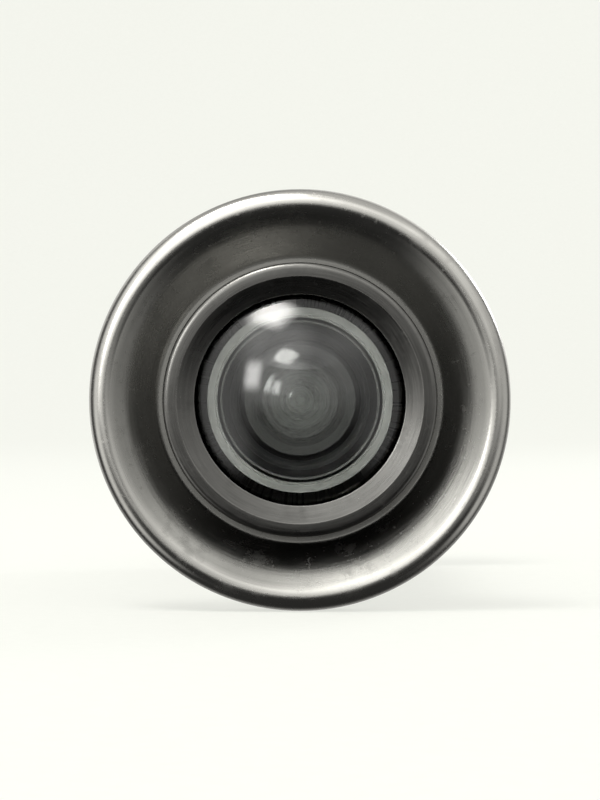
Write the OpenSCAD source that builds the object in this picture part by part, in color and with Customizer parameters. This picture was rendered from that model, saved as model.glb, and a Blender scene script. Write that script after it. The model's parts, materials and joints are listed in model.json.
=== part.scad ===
// Door viewer: a wide-angle peephole for a door leaf.
//
// The objective barrel goes through the door from outside, the eyepiece barrel screws
// into it from inside, and the two flanges clamp the leaf between them.
// The viewing axis is Y. The outside face of the door lies at y = 0 with the street at -Y,
// the inside face lies at y = door_t, and +Z is up.

/* [Door] */
// Thickness of the door leaf between the two flanges
door_t = 40; // [35:1:53]
// Diameter of the hole through the door
door_hole_d = 14; // [14:0.1:14.6]

/* [Outside head] */
// Diameter of the outside flange
head_d = 26; // [25:0.5:30]
// Height of the rolled rim above the door
rim_h = 3.6; // [3.4:0.1:4.2]
// Radius of the roll around the rim
rim_roll_r = 0.9; // [0.7:0.1:1.1]
// Height of the dish floor above the door
dish_h = 1.9; // [1.8:0.1:2.2]
// Diameter of the bezel that holds the front lens
bezel_d = 16.8; // [16.6:0.1:17.4]
// Height of the bezel above the door
bezel_h = 4.75; // [4.7:0.05:5.2]

/* [Optics] */
// Diameter of the front lens
front_lens_d = 14; // [13.8:0.1:14]
// Height of the front lens's dome over its edge
front_lens_sag = 3; // [2.4:0.1:3.2]
// Diameter of the two lenses inside the barrel
inner_lens_d = 11.9; // [11.7:0.1:11.9]
// Diameter of the eyepiece lens
eye_lens_d = 10; // [9.6:0.1:10]

/* [Barrels] */
// Length of the objective barrel behind the door's outside face
objective_len = 33.5; // [31:0.5:33.5]
// Reach of the eyepiece barrel in front of the door's inside face
eyepiece_len = 24; // [22:1:24]
// Crest diameter of the eyepiece barrel's thread
thread_d = 12.3; // [12.2:0.05:12.3]
// Depth of the thread
thread_depth = 0.5; // [0.4:0.05:0.5]
// Radial play between the two threads
thread_play = 0.15; // [0.12:0.01:0.2]

/* [Rosette and cover] */
// Diameter of the inside rosette
rosette_d = 26; // [25:0.5:30]
// Height of the rosette's face above the door
rosette_h = 2.8; // [2.8:0.1:3.4]
// Diameter of the swinging cover
cover_d = 17.6; // [17:0.1:18]
// Height of the cover's pivot above the viewing axis
pivot_up = 10.2; // [10:0.1:10.4]
// Drop of the cover's knob below the viewing axis
knob_down = 5.2; // [4:0.1:6]

/* [Gaskets] */
// Thickness of the two rubber gaskets
gasket_t = 1; // [0.8:0.1:1]
// How far each gasket stands out of its flange
gasket_proud = 0.3; // [0.2:0.05:0.4]

/* [Hidden] */
$fn = 96;

// Names of the sub-parts, from the outside to the inside of the door

nickel = "#73736e";
satin_nickel = "#8b8b85";
black_metal = "#222221";
glass = [0.72, 0.78, 0.78, 0.4];
rubber = "#1b1b1b";
nylon = "#dcd9cf";
spring_steel = "#a7a7a3";

head_r = head_d / 2;
barrel_r = (door_hole_d - 0.2) / 2;
bezel_r = bezel_d / 2;

// Lens stack. The bezel clamps the front lens, and the front lens clamps the rest.
front_lens_r = front_lens_d / 2;
front_lens_back = -2;
front_lens_edge = -3.6;
front_hollow_r = 4.6;
front_hollow_sag = 2.9;
lens_play = 0.05;
pocket_floor = -1.2;
pocket_r = front_lens_r + lens_play;
boss_r = 7.5;
chamber_r = inner_lens_d / 2 + lens_play;
inner_lens_r = inner_lens_d / 2;
middle_lens_y = 1.2;
middle_lens_t = 3.2;
rear_spacer_t = 1.2;
rear_lens_y = middle_lens_y + middle_lens_t + rear_spacer_t;
rear_lens_t = 3.4;
// Faces of the two inner lenses, each as [half width, height]
middle_lens_front = [4.9, 0.9];
middle_lens_back = [3.6, -2.26];
rear_lens_front = [4.4, -0.84];
rear_lens_back = [4.2, -1.7];
front_spacer_bore_r = 4.95;
rear_spacer_bore_r = 4.6;
spacer_rounds = [0.15, 0.15, 0.15, 0.15];
chamber_end = rear_lens_y + rear_lens_t;
shoulder_t = 1.5;
shoulder_r = 4.9;
seal_wire_r = (front_lens_back - pocket_floor) / -2;
seal_r = 6.5;

// Thread. The two threads mesh because they start a whole number of pitches apart.
thread_pitch = 1;
thread_r = thread_d / 2;
root_r = thread_r - thread_depth;
nut_start = chamber_end + shoulder_t + 0.5;
nut_relief_r = 6.4;
thread_run_in = 0.3;
thread_sides = 48;
neck_len = 1.2;

// Inside flange, with heights counted from the inside face of the door
rosette_r = rosette_d / 2;
rosette_floor = 1.8;
rosette_recess_r = 8.2;
rosette_hole_r = thread_r + 0.3;
slip_t = 0.3;
eye_flange_r = 7.9;
eye_flange_y = rosette_floor + slip_t;
eye_flange_t = 1;
eye_lens_r = eye_lens_d / 2;
eye_pocket_r = eye_lens_r + lens_play;
eye_pocket_y = -0.6;
eye_lens_edge_t = 1;
eye_lens_sag = 1.2;
lock_ring_t = 1.6;
eye_bore_r = 4.6;
stop_seat_r = 4.95;
stop_seat_t = 1;
stop_hole_r = 3.2;
lock_bore_r = 4.3;
spring_washer_t = 0.55;
cover_y = rosette_h + spring_washer_t;
cover_t = 1.4;
cover_r = cover_d / 2;
cover_ear_r = 2.5;
cover_ear_t = 1;
cover_pocket_r = cover_r - 1;
cover_pocket_t = 0.6;
pivot_pin_r = 1.1;
pivot_play = 0.05;
rivet_head_r = 2;
rivet_head_t = 0.8;
rivet_edge_t = 0.25;
spring_washer_r = 2.3;
spring_washer_wall = 0.2;
knob_r = 1.7;
knob_neck_r = 1.1;
knob_stem_r = 0.7;
knob_h = 2.4;
gasket_out_r = 11.6;
gasket_in_r = 7.8;
hub_r = gasket_in_r - 0.1;

// --- Shared shapes ---------------------------------------------------------------

// Revolves a profile drawn as (distance from the axis, y) about the viewing axis.
module turned() rotate([-90, 0, 0]) rotate_extrude() children();

// Moves its children to the inside face of the door.
module inside() translate([0, door_t, 0]) children();

// Extrudes an outline drawn as seen from inside the room, with its y axis pointing up.
module plate(y, t) translate([0, y + t, 0]) rotate([90, 0, 0]) linear_extrude(t) children();

// Takes a round of radius r off the corner at (x, y) that points along (sx, sy).
module corner_cut(x, y, r, sx, sy) {
    translate([x - sx * r, y - sy * r]) difference() {
        translate([sx > 0 ? 0 : -2 * r, sy > 0 ? 0 : -2 * r]) square(2 * r);
        circle(r);
    }
}

// Ring section from y0 to y1 with rounded corners, listed as
// [outside at y0, outside at y1, inside at y1, inside at y0].
module ring(r_in, r_out, y0, y1, rounds = [0, 0, 0, 0]) {
    difference() {
        translate([r_in, y0]) square([r_out - r_in, y1 - y0]);
        if (rounds[0] > 0) corner_cut(r_out, y0, rounds[0], 1, -1);
        if (rounds[1] > 0) corner_cut(r_out, y1, rounds[1], 1, 1);
        if (rounds[2] > 0) corner_cut(r_in, y1, rounds[2], -1, 1);
        if (rounds[3] > 0) corner_cut(r_in, y0, rounds[3], -1, -1);
    }
}

// Circle segment on the axis, with its chord of half width a at y and its height s
// measured towards +y, or towards -y where s is negative.
module cap(y, a, s) {
    r = (a * a + s * s) / (2 * abs(s));
    intersection() {
        translate([0, y + s - sign(s) * r]) circle(r);
        translate([0, min(y, y + s)]) square([a, abs(s)]);
    }
}

// Lens section between the edge planes y0 and y1. Each face is [half width, height]:
// a positive height bulges out of the lens and a negative one hollows it.
module lens(edge_r, y0, y1, front, back) {
    difference() {
        union() {
            translate([0, y0]) square([edge_r, y1 - y0]);
            if (front[1] > 0) cap(y0, front[0], -front[1]);
            if (back[1] > 0) cap(y1, back[0], back[1]);
        }
        if (front[1] < 0) cap(y0, front[0], -front[1]);
        if (back[1] < 0) cap(y1, back[0], back[1]);
    }
}

// Right-handed threaded rod along +Z from z = 0. The crest rises over the first turn and
// falls over the last one, so that both ends are plain discs of the root radius.
module threaded_rod(r_root, r_crest, length) {
    n = thread_sides;
    turns = floor((length - 2 * thread_run_in) / thread_pitch) - 1;
    last = 2 * turns;
    lines = last + 1;
    z = function (j, k) thread_run_in + thread_pitch * (k / 2 + j / n);
    rise = function (s) max(0, min(1, s - 0.5, turns + 0.5 - s));
    r = function (j, k) k % 2 == 0 ? r_root : r_root + (r_crest - r_root) * rise(k / 2 + j / n);
    at = function (radius, j, height) [radius * cos(360 * j / n), radius * sin(360 * j / n), height];
    id = function (j, k) n + j * lines + k;
    top = n + n * lines;
    points = concat(
        [for (j = [0 : n - 1]) at(r_root, j, 0)],
        [for (j = [0 : n - 1], k = [0 : last]) at(r(j, k), j, z(j, k))],
        [for (j = [0 : n - 1]) at(r_root, j, length)]
    );
    flanks = [for (j = [0 : n - 2], k = [0 : last - 1])
        each [[id(j, k), id(j, k + 1), id(j + 1, k + 1)], [id(j, k), id(j + 1, k + 1), id(j + 1, k)]]];
    ends = [for (j = [0 : n - 2]) each [
        [j, id(j, 0), id(j + 1, 0)], [j, id(j + 1, 0), j + 1],
        [id(j, last), top + j, top + j + 1], [id(j, last), top + j + 1, id(j + 1, last)]
    ]];
    // Where the last column meets the first, the lines of one turn join those of the next.
    seam = [for (k = [0 : last - 3]) each [
        [id(n - 1, k), id(n - 1, k + 1), id(0, k + 3)], [id(n - 1, k), id(0, k + 3), id(0, k + 2)]
    ]];
    seam_ends = [
        [n - 1, id(0, 0), 0], [n - 1, id(0, 1), id(0, 0)], [n - 1, id(0, 2), id(0, 1)],
        [n - 1, id(n - 1, 0), id(0, 2)],
        [id(n - 1, last - 2), id(n - 1, last - 1), id(0, last)],
        [id(n - 1, last - 1), id(n - 1, last), id(0, last)],
        [id(n - 1, last), top + n - 1, id(0, last)], [top + n - 1, top, id(0, last)]
    ];
    discs = [[for (j = [0 : n - 1]) j], [for (j = [n - 1 : -1 : 0]) top + j]];
    polyhedron(points = points, faces = concat(flanks, ends, seam, seam_ends, discs));
}

// --- Objective half, fixed in the door -------------------------------------------

// Point where a line from p touches the rim's roll, on the side away from the door.
function roll_touch(p, c, r) =
    let (d = c - p, reach = sqrt(d * d - r * r), a = atan2(d[1], d[0]) - asin(r / norm(d)))
    p + reach * [cos(a), sin(a)];

module head_section() {
    roll = [head_r - rim_roll_r, rim_roll_r - rim_h];
    foot = [bezel_r + 0.5, -dish_h];
    touch = roll_touch(foot, roll, rim_roll_r);
    difference() {
        union() {
            translate(roll) circle(rim_roll_r);
            polygon([
                [barrel_r - 1, 0], [barrel_r - 1, -dish_h], foot, touch, roll,
                [head_r, roll[1]], [head_r, -gasket_proud - 0.2],
                [head_r - 0.2, -gasket_proud], [gasket_out_r + 0.2, -gasket_proud],
                [gasket_out_r + 0.2, -gasket_t], [hub_r, -gasket_t],
                [hub_r, -gasket_proud], [barrel_r, -gasket_proud], [barrel_r, 0]
            ]);
            ring(barrel_r - 1, boss_r, front_lens_edge, -dish_h);
        }
        translate([0, front_lens_edge]) square([pocket_r, pocket_floor - front_lens_edge]);
    }
}

module objective_barrel() {
    relief_y = chamber_end + shoulder_t;
    relief_len = 0.5 + thread_run_in + 1.5 * thread_pitch;
    mouth = 0.5;
    color(nickel) difference() {
        turned() difference() {
            union() {
                head_section();
                ring(0, barrel_r, pocket_floor, objective_len - 0.4);
                polygon([
                    [0, objective_len - 0.4], [barrel_r, objective_len - 0.4],
                    [barrel_r - 0.4, objective_len], [0, objective_len]
                ]);
            }
            translate([0, pocket_floor]) square([chamber_r, chamber_end - pocket_floor]);
            translate([0, pocket_floor]) square([shoulder_r, chamber_end + 2 - pocket_floor]);
            translate([0, relief_y]) square([nut_relief_r, relief_len]);
            polygon([
                [0, objective_len - mouth], [root_r + thread_play, objective_len - mouth],
                [root_r + thread_play + mouth, objective_len], [0, objective_len]
            ]);
        }
        translate([0, nut_start, 0]) rotate([-90, 0, 0])
            threaded_rod(root_r + thread_play, thread_r + thread_play, objective_len + 3 - nut_start);
    }
}

module front_bezel() {
    skirt_r = boss_r + lens_play;
    lip_r = 6.45;
    color(satin_nickel) turned() difference() {
        ring(lip_r, bezel_r, -bezel_h, -dish_h - 0.02, [0.7, 0.15, 0, 0.2]);
        translate([0, front_lens_edge - 0.02]) square([skirt_r, bezel_h]);
        polygon([
            [0, front_lens_edge], [skirt_r, front_lens_edge], [pocket_r, front_lens_edge - 0.1],
            [lip_r, front_lens_edge - 0.65], [0, front_lens_edge - 0.65]
        ]);
    }
}

module front_lens() {
    color(glass) turned() lens(front_lens_r, front_lens_edge, front_lens_back,
        [front_lens_r, front_lens_sag], [front_hollow_r, -front_hollow_sag]);
}

module front_lens_seal() {
    color(rubber) turned() translate([seal_r, (front_lens_back + pocket_floor) / 2]) circle(seal_wire_r);
}

module front_spacer() {
    color(black_metal) turned()
        ring(front_spacer_bore_r, inner_lens_r, front_lens_back, middle_lens_y, spacer_rounds);
}

module middle_lens() {
    color(glass) turned() lens(inner_lens_r, middle_lens_y, middle_lens_y + middle_lens_t,
        middle_lens_front, middle_lens_back);
}

module rear_spacer() {
    color(black_metal) turned()
        ring(rear_spacer_bore_r, inner_lens_r, rear_lens_y - rear_spacer_t, rear_lens_y, spacer_rounds);
}

module rear_lens() {
    color(glass) turned() lens(inner_lens_r, rear_lens_y, rear_lens_y + rear_lens_t,
        rear_lens_front, rear_lens_back);
}

module outside_gasket() {
    color(rubber) turned() ring(gasket_in_r, gasket_out_r, -gasket_t, 0, [0.1, 0.2, 0.2, 0.1]);
}

// --- Inside flange ---------------------------------------------------------------

module inside_gasket() {
    color(rubber) inside() turned() ring(gasket_in_r, gasket_out_r, 0, gasket_t, [0.2, 0.1, 0.1, 0.2]);
}

module rosette() {
    edge_r = 1.2;
    pin_hole_r = pivot_pin_r + 0.01;
    color(nickel) inside() difference() {
        turned() difference() {
            ring(rosette_hole_r, rosette_r, gasket_proud, rosette_h, [0.2, edge_r, 0, 0]);
            translate([0, rosette_floor]) square([rosette_recess_r, rosette_h]);
            translate([hub_r, 0]) square([gasket_out_r - gasket_in_r + 0.2, gasket_t + 0.02]);
            corner_cut(rosette_recess_r, rosette_h, 0.3, -1, 1);
        }
        translate([0, 0, pivot_up]) rotate([-90, 0, 0]) cylinder(r = pin_hole_r, h = rosette_h + 1);
    }
}

module cover_pivot_rivet() {
    head_y = cover_y + cover_ear_t + pivot_play;
    color(satin_nickel) inside() translate([0, 0, pivot_up]) turned() {
        translate([0, gasket_t + 0.05]) square([pivot_pin_r, head_y - gasket_t]);
        translate([0, head_y]) square([rivet_head_r, rivet_edge_t]);
        cap(head_y + rivet_edge_t, rivet_head_r, rivet_head_t - rivet_edge_t);
    }
}

// Coned spring washer that takes up the gap between the rosette and the cover's ear.
module cover_spring_washer() {
    bore_r = pivot_pin_r + 0.1;
    low = rosette_h + 0.01;
    high = cover_y - 0.05;
    color(spring_steel) inside() translate([0, 0, pivot_up]) turned() polygon([
        [bore_r, low], [bore_r + 0.15, low],
        [spring_washer_r, high - spring_washer_wall], [spring_washer_r, high],
        [spring_washer_r - 0.15, high], [bore_r, low + spring_washer_wall]
    ]);
}

// --- Eyepiece barrel, which screws into the objective barrel ---------------------

module eyepiece_barrel() {
    slot_w = 1.6;
    slot_t = 0.6;
    neck_y = -neck_len;
    neck_r = thread_r + 0.05;
    face = eye_flange_y + eye_flange_t;
    color(nickel) inside() difference() {
        union() {
            translate([0, -eyepiece_len, 0]) rotate([-90, 0, 0])
                threaded_rod(root_r, thread_r, eyepiece_len - neck_len + 0.1);
            turned() ring(0, neck_r, neck_y, eye_flange_y + 0.1);
            turned() ring(0, eye_flange_r, eye_flange_y, face, [0.1, 0.3, 0, 0]);
        }
        turned() {
            translate([0, -eyepiece_len - 1]) square([eye_bore_r, eyepiece_len + 2]);
            translate([0, -eyepiece_len - 1]) square([stop_seat_r, stop_seat_t + 1]);
            translate([0, eye_pocket_y]) square([eye_pocket_r, face + 1]);
            polygon([
                [0, face - 0.5], [eye_pocket_r, face - 0.5],
                [eye_pocket_r + 0.8, face + 0.3], [0, face + 0.3]
            ]);
        }
        for (side = [-1, 1]) translate([side * eye_flange_r, face, 0])
            cube([2.4, 2 * slot_t, slot_w], center = true);
    }
}

module slip_washer() {
    color(nylon) inside() turned()
        ring(rosette_hole_r + 0.15, rosette_recess_r - 0.2, rosette_floor + 0.05, eye_flange_y);
}

module aperture_stop() {
    stop_y = -eyepiece_len;
    color(black_metal) inside() turned() difference() {
        ring(stop_hole_r, stop_seat_r - 0.02, stop_y + 0.1, stop_y + stop_seat_t - 0.02);
        polygon([
            [stop_hole_r - 0.2, stop_y], [stop_hole_r + 0.5, stop_y],
            [stop_hole_r, stop_y + 0.6], [stop_hole_r - 0.2, stop_y + 0.6]
        ]);
    }
}

module eyepiece_lens() {
    color(glass) inside() turned() lens(eye_lens_r, eye_pocket_y + 0.01, eye_pocket_y + eye_lens_edge_t,
        [eye_bore_r - 0.1, eye_lens_sag], [eye_bore_r - 0.1, eye_lens_sag]);
}

module eyepiece_lock_ring() {
    ring_y = eye_pocket_y + eye_lens_edge_t + 0.01;
    notch_t = 0.6;
    color(black_metal) inside() difference() {
        turned() difference() {
            ring(lock_bore_r, eye_lens_r + 0.03, ring_y, ring_y + lock_ring_t, [0, 0.15, 0, 0]);
            polygon([
                [lock_bore_r - 0.1, ring_y], [lock_bore_r + 0.3, ring_y],
                [lock_bore_r, ring_y + 0.5], [lock_bore_r, ring_y + lock_ring_t - 0.4],
                [lock_bore_r + 0.3, ring_y + lock_ring_t], [lock_bore_r - 0.1, ring_y + lock_ring_t + 0.1]
            ]);
            translate([0, ring_y - 0.1]) square([eye_bore_r - 0.05, 0.45]);
        }
        for (side = [-1, 1]) translate([0, ring_y + lock_ring_t, side * (eye_lens_r - 0.2)])
            cube([1, 2 * notch_t, 1.2], center = true);
    }
}

// --- Cover -----------------------------------------------------------------------

// Corners of the web between the ear's round and the cover's disc, on their common tangents.
function web(r_disc, r_ear, up) =
    let (a = asin((r_disc - r_ear) / up))
    [
        [-r_disc * cos(a), r_disc * sin(a)], [r_disc * cos(a), r_disc * sin(a)],
        [r_ear * cos(a), up + r_ear * sin(a)], [-r_ear * cos(a), up + r_ear * sin(a)]
    ];

module cover_flap() {
    pin_hole_r = pivot_pin_r + pivot_play;
    knob_hole_r = knob_stem_r + 0.02;
    color(nickel) inside() difference() {
        union() {
            turned() ring(0, cover_r, cover_y, cover_y + cover_t, [0.1, 0.6, 0, 0]);
            plate(cover_y, cover_ear_t) union() {
                polygon(web(cover_r - 0.6, cover_ear_r, pivot_up));
                translate([0, pivot_up]) circle(cover_ear_r);
            }
        }
        turned() translate([0, cover_y - 1]) square([cover_pocket_r, cover_pocket_t + 1]);
        translate([0, cover_y - 1, pivot_up]) rotate([-90, 0, 0]) cylinder(r = pin_hole_r, h = cover_t + 2);
        translate([0, cover_y + cover_ear_t, pivot_up]) rotate([-90, 0, 0])
            cylinder(r = rivet_head_r + 0.2, h = cover_t);
        translate([0, cover_y, -knob_down]) rotate([-90, 0, 0]) cylinder(r = knob_hole_r, h = cover_t + 1);
    }
}

module cover_seal() {
    color(rubber) inside() turned()
        ring(0, cover_pocket_r - 0.1, cover_y + 0.1, cover_y + cover_pocket_t - 0.01, [0.2, 0, 0, 0]);
}

module cover_knob() {
    face = cover_y + cover_t;
    color(satin_nickel) inside() translate([0, 0, -knob_down]) turned() {
        translate([0, cover_y + cover_pocket_t + 0.02]) square([knob_stem_r, cover_t]);
        ring(0, knob_neck_r, face + 0.01, face + 0.8);
        ring(0, knob_r, face + 0.7, face + knob_h, [0.3, 0.7, 0, 0]);
    }
}

objective_barrel();
front_bezel();
front_lens();
front_lens_seal();
front_spacer();
middle_lens();
rear_spacer();
rear_lens();
outside_gasket();
inside_gasket();
rosette();
cover_pivot_rivet();
cover_spring_washer();
eyepiece_barrel();
slip_washer();
aperture_stop();
eyepiece_lens();
eyepiece_lock_ring();
cover_flap();
cover_seal();
cover_knob();
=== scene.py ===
"""Door viewer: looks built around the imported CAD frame.

The viewing axis is Y, with the street at -Y and the room at +Y, and Z is up. Profiles and pieces
are in millimetres, counted from the door's outside face. Materials and the studio are in metres.
"""

import json
import math

import bmesh
import bpy
from mathutils import Matrix, Vector


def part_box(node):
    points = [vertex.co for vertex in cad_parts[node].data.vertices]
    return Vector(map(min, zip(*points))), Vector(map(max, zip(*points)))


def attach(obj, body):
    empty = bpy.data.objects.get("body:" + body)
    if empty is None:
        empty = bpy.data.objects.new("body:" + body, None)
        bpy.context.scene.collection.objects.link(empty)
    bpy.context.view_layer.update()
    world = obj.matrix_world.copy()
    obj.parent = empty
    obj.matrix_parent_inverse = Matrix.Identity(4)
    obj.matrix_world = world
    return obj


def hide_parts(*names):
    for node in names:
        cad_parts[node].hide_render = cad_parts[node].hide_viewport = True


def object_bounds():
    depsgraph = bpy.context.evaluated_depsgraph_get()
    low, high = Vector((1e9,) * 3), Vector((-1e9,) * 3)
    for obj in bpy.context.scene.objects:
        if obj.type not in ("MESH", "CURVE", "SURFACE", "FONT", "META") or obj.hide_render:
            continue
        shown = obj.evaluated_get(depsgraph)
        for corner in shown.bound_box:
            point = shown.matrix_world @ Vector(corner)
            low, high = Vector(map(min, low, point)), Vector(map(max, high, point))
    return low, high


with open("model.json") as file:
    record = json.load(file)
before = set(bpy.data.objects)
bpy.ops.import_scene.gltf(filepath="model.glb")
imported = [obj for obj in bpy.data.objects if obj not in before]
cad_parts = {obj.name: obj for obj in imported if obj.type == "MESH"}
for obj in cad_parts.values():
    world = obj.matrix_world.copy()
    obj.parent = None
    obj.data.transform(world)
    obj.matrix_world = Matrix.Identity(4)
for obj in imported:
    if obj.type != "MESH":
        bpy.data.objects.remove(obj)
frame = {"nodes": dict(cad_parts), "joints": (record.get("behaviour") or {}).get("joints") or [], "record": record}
CAD_LO, CAD_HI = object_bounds()
MOUNTS = {mount["name"]: mount for mount in frame["record"]["mounts"]}
JOINTS = {joint["name"]: joint for joint in frame["joints"]}

MM = 0.001
# Columns of faces round a turned piece, and the distance in metres at which points merge
COLUMNS = 160
MERGE = 2e-7


# --- Profiles -------------------------------------------------------------------------


def arc(centre, radius, start, end, steps=16):
    """Corners (r, y, 0) on an arc, with its angles in degrees from the +r direction."""
    points = []
    for i in range(steps + 1):
        a = math.radians(start + (end - start) * i / steps)
        points.append((centre[0] + radius * math.cos(a), centre[1] + radius * math.sin(a), 0))
    return points


def dome(y, half_width, rise, steps=40):
    """Points (r, y) on a spherical face, from its edge at y to its apex on the axis at y + rise."""
    radius = (half_width**2 + rise**2) / (2 * abs(rise))
    centre_y = y + rise - math.copysign(radius, rise)
    edge = math.asin(min(1, half_width / radius))
    points = [(half_width, y)]
    for i in range(1, steps):
        a = edge * (1 - i / steps)
        points.append((radius * math.sin(a), centre_y + math.copysign(radius * math.cos(a), rise)))
    return [*points, (0, y + rise)]


def softened(corners, edge=0.08, steps=4, closed=True, guard=0.04):
    """Rounds each corner (r, y) or (r, y, radius) of a profile. A radius of 0 leaves it sharp. Guard
    points beside each rounding keep the shading of long flats even."""
    almost_straight = 0.02
    most_of_a_side = 0.45
    long_side = 4
    count = len(corners)
    out = []
    for i, corner in enumerate(corners):
        here = Vector(corner[:2])
        radius = corner[2] if len(corner) > 2 else edge
        if radius == 0 or (not closed and i in (0, count - 1)):
            out.append(here)
            continue
        back = Vector(corners[i - 1][:2]) - here
        on = Vector(corners[(i + 1) % count][:2]) - here
        turn = back.angle(on, 0)
        if not almost_straight <= turn <= math.pi - almost_straight:
            out.append(here)
            continue
        room_for = most_of_a_side * min(back.length, on.length)
        reach = min(radius / math.tan(turn / 2), room_for)
        start, end = here + back.normalized() * reach, here + on.normalized() * reach
        if back.length > long_side * (reach + guard):
            out.append(start + back.normalized() * guard)
        for k in range(steps + 1):
            t = k / steps
            out.append(start * (1 - t) ** 2 + here * 2 * t * (1 - t) + end * t**2)
        if on.length > long_side * (reach + guard):
            out.append(end + on.normalized() * guard)
    return [(p[0], p[1]) for p in out]


# --- Meshes ---------------------------------------------------------------------------


class Turning:
    """A surface of revolution about the viewing axis, built ring by ring, with threads."""

    def __init__(self, columns=COLUMNS):
        self.columns = columns
        self.verts = []
        self.faces = []
        self.last = None
        self.first = None

    def _ring(self, radius, y):
        if radius == 0:
            self.verts.append((0, y, 0))
            return [len(self.verts) - 1]
        start = len(self.verts)
        for j in range(self.columns):
            a = math.tau * j / self.columns
            self.verts.append((radius * math.sin(a), y, radius * math.cos(a)))
        return list(range(start, start + self.columns))

    def _bridge(self, a, b):
        if len(a) == 1 and len(b) == 1:
            return
        for j in range(self.columns):
            k = (j + 1) % self.columns
            if len(a) == 1:
                self.faces.append((a[0], b[k], b[j]))
            elif len(b) == 1:
                self.faces.append((a[j], a[k], b[0]))
            else:
                self.faces.append((a[j], a[k], b[k], b[j]))

    def along(self, points):
        """Carries the surface through these (r, y) points. What follows y in a point is not used."""
        for radius, y, *_ in points:
            ring = self._ring(radius, y)
            if self.last is None:
                self.first = ring
            else:
                self._bridge(self.last, ring)
            self.last = ring
        return self

    def thread(self, y0, y1, root, crest, run_out=True, pitch=1.0, lines=8):
        """A right-handed thread of rounded V form from y0 to y1, between plain rings of the root
        radius. With run_out it fades at both ends. Threads of one pitch are in mesh."""
        n, m = self.columns, lines
        low_y, high_y = min(y0, y1), max(y0, y1)
        low_gap, high_gap, flat, lead = 0.1, 0.05, 0.12, 0.35
        start = pitch * math.ceil((low_y + low_gap) / pitch)
        turns = int((high_y - high_gap - start) / pitch) - 1
        last = m * turns

        def radius_at(s):
            """The radius after s turns of the helix at one column."""
            across = 1 - 2 * abs(s % 1 - 0.5)
            height = max(0.0, min(1.0, (across - flat) / (1 - 2 * flat)))
            if run_out:
                height *= max(0.0, min(1.0, s - lead, turns + (1 - lead) - s))
            return root + (crest - root) * height

        grid = []
        for j in range(n):
            a = math.tau * j / n
            column = []
            for k in range(last + 1):
                s = k / m + j / n
                r = radius_at(s)
                self.verts.append((r * math.sin(a), start + pitch * s, r * math.cos(a)))
                column.append(len(self.verts) - 1)
            grid.append(column)
        for j in range(n - 1):
            here, there = grid[j], grid[j + 1]
            for k in range(last):
                self.faces.append((here[k], here[k + 1], there[k + 1], there[k]))
        # Where the last column meets the first, the lines of one turn join those of the next
        for k in range(last - m):
            here, there = grid[n - 1], grid[0]
            self.faces.append((here[k], here[k + 1], there[k + m + 1], there[k + m]))
        entry = self._ring(root, y0)
        self._bridge(self.last, entry)
        self.last = self._ring(root, y1)
        bottom, top = (entry, self.last) if y1 > y0 else (self.last, entry)
        for j in range(n - 1):
            here, there = grid[j], grid[j + 1]
            self.faces.append((bottom[j], bottom[j + 1], there[0], here[0]))
            self.faces.append((here[last], there[last], top[j + 1], top[j]))
        seam_low, seam_high = grid[0][: m + 1], grid[n - 1][last : last - m - 1 : -1]
        self.faces.append((bottom[n - 1], bottom[0], *seam_low, grid[n - 1][0]))
        self.faces.append((top[0], top[n - 1], *seam_high, grid[0][last]))
        return self

    def closed(self):
        """Joins the last ring to the first."""
        self._bridge(self.last, self.first)
        return self

    def mesh(self, name, sharp=32):
        return solid(name, self.verts, self.faces, sharp)


def dressed(data, sharp):
    """Merges points that coincide, closes slits that a cut left, turns the faces outward and smooths
    them between edges that are sharper than this angle in degrees."""
    shape = bmesh.new()
    shape.from_mesh(data)
    bmesh.ops.remove_doubles(shape, verts=shape.verts, dist=MERGE)
    bmesh.ops.dissolve_degenerate(shape, edges=shape.edges, dist=MERGE)
    bmesh.ops.delete(shape, geom=[edge for edge in shape.edges if edge.is_wire], context="EDGES")
    bmesh.ops.holes_fill(shape, edges=shape.edges, sides=4)
    bmesh.ops.recalc_face_normals(shape, faces=shape.faces)
    shape.to_mesh(data)
    shape.free()
    data.shade_smooth()
    data.set_sharp_from_angle(angle=math.radians(sharp))
    data.update()


def solid(name, verts, faces, sharp=32):
    """An object from verts in millimetres."""
    data = bpy.data.meshes.new(name)
    data.from_pydata([Vector(v) * MM for v in verts], [], faces)
    dressed(data, sharp)
    obj = bpy.data.objects.new(name, data)
    bpy.context.scene.collection.objects.link(obj)
    return obj


def turned(name, corners, edge=0.08, sharp=32):
    """A ring or disc with a closed profile, its corners softened by edge unless they say otherwise."""
    return Turning().along(softened(corners, edge)).closed().mesh(name, sharp)


def moved(obj, y=0.0, z=0.0):
    """Shifts the mesh itself, in millimetres."""
    obj.data.transform(Matrix.Translation((0, y * MM, z * MM)))
    return obj


def carved(obj, away, joined=(), sharp=40):
    """Joins some objects to obj, takes others away from it for good, and deletes them all."""
    for tool in [*joined, *away]:
        step = obj.modifiers.new("carve", "BOOLEAN")
        step.operation = "UNION" if tool in joined else "DIFFERENCE"
        step.solver = "EXACT"
        step.object = tool
    shape = obj.evaluated_get(bpy.context.evaluated_depsgraph_get())
    data = bpy.data.meshes.new_from_object(shape)
    obj.modifiers.clear()
    old, obj.data = obj.data, data
    bpy.data.meshes.remove(old)
    for tool in [*joined, *away]:
        bpy.data.objects.remove(tool)
    dressed(data, sharp)
    return obj


def block(low, high):
    """A plain cutter between two corners."""
    x0, y0, z0 = low
    x1, y1, z1 = high
    verts = [(x, y, z) for x in (x0, x1) for y in (y0, y1) for z in (z0, z1)]
    faces = [(0, 1, 3, 2), (4, 6, 7, 5), (0, 4, 5, 1), (2, 3, 7, 6), (0, 2, 6, 4), (1, 5, 7, 3)]
    return solid("cutter", verts, faces)


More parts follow.
